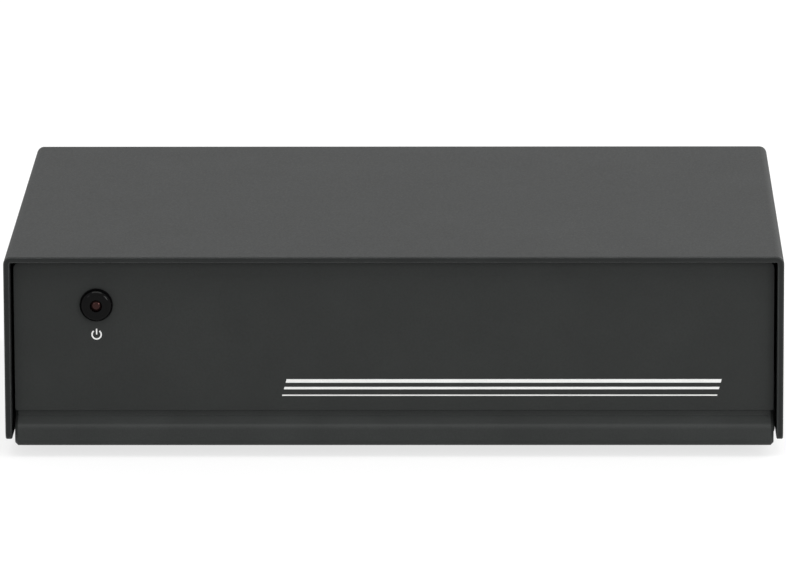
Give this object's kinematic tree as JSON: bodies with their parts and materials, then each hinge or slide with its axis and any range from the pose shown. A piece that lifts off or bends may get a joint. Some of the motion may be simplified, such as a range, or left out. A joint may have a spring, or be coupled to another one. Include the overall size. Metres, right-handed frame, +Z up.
{
  "type": "phono preamplifier",
  "caption": "Small desktop phono preamplifier: folded grey steel case with a joggled front lip, power lamp, stacked phono jacks, power inlet and ground terminal at the back.",
  "frame": {"origin": "middle of the overall width and length, on the surface that the rubber feet stand on", "axes": "+X to the right seen from the front, +Y from the front to the jacks at the back, +Z up"},
  "size_m": [0.133, 0.1104, 0.0352],
  "materials": {
    "powder_coat": "fine grained dark grey powder coat",
    "fascia_paint": "dark grey satin front plate",
    "bezel_black": "polished black",
    "lamp_red": "dark red tinted lens, unlit",
    "tinned_wire": "tinned",
    "board_green": "solder mask",
    "zinc_steel": "zinc plated",
    "black_steel": "black zinc screws",
    "housing_black": "moulded black",
    "nickel": "nickel plated",
    "insulator_white": "moulded white",
    "insulator_red": "moulded red",
    "brass": "bare brass",
    "can_sleeve": "shrink sleeve",
    "film_blue": "moulded film capacitor case",
    "chip_black": "moulded",
    "resistor_body": "lacquer",
    "foot_rubber": "matt rubber"
  },
  "bodies": {
    "chassis": {"top_cover": "powder_coat", "bottom_tray": "powder_coat", "front_fascia": "fascia_paint", "led_bezel": "bezel_black", "led_lamp": "lamp_red", "led_leads": "tinned_wire", "circuit_board": "board_green", "board_standoffs": "zinc_steel", "board_screws": "zinc_steel", "input_jack_block": "housing_black", "output_jack_block": "housing_black", "input_jack_sleeves": "nickel", "output_jack_sleeves": "nickel", "left_channel_insulators": "insulator_white", "right_channel_insulators": "insulator_red", "jack_center_contacts": "nickel", "jack_panel_screws": "black_steel", "dc_jack_body": "housing_black", "dc_jack_pin": "nickel", "dc_jack_spring": "nickel", "ground_post": "brass", "ground_lug": "tinned_wire", "ground_inner_nut": "zinc_steel", "filter_capacitors": "can_sleeve", "coupling_capacitors": "can_sleeve", "film_capacitors": "film_blue", "opamp_chips": "chip_black", "resistors": "resistor_body", "voltage_regulator": "chip_black", "cover_screws": "black_steel", "rubber_feet": "foot_rubber"},
    "ground_carrier": {"ground_washer": "nickel"},
    "ground_nut": {"ground_thumb_nut": "nickel"}
  },
  "joints": [
    {"name": "ground_nut_travel", "type": "slide", "parent": "chassis", "child": "ground_carrier", "axis": [0, 1, 0], "range_m": [0, 0.004]},
    {"name": "ground_nut_turn", "type": "hinge", "parent": "ground_carrier", "child": "ground_nut", "pos_m": [0.043, 0.0475, 0.016], "axis": [0, 1, 0], "range_deg": [0, 2058]}
  ],
  "couplings": [
    {"joint": "ground_nut_turn", "follows": "ground_nut_travel", "rad_per_m": 8976}
  ]
}
